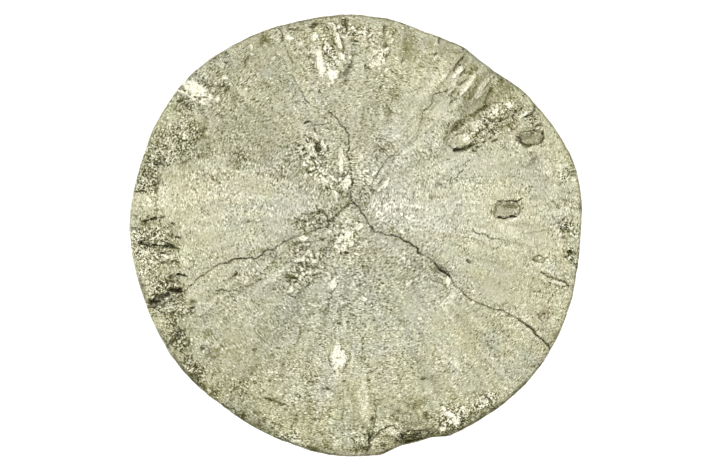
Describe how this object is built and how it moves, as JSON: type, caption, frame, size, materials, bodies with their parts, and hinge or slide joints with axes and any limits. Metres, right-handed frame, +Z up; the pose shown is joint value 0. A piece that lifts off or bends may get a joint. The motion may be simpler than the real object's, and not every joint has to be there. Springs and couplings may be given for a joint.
{
  "type": "pyrite sun",
  "caption": "Flat round disc of natural pyrite with ribs and cracks spreading from its centre; lies on a small flat spot of its back.",
  "frame": {"origin": "under the middle of the disc's outline, on the surface that it rests on", "axes": "+Z up, out of the front face; +X along the widest span of the disc; +Y towards the rim nearest the growth centre"},
  "size_m": [0.08, 0.0782, 0.0062],
  "materials": {
    "pyrite": "metallic pale brassy grey, fine crystalline sparkle, half matt"
  },
  "bodies": {
    "root": {"pyrite_disc": "pyrite"}
  },
  "joints": []
}
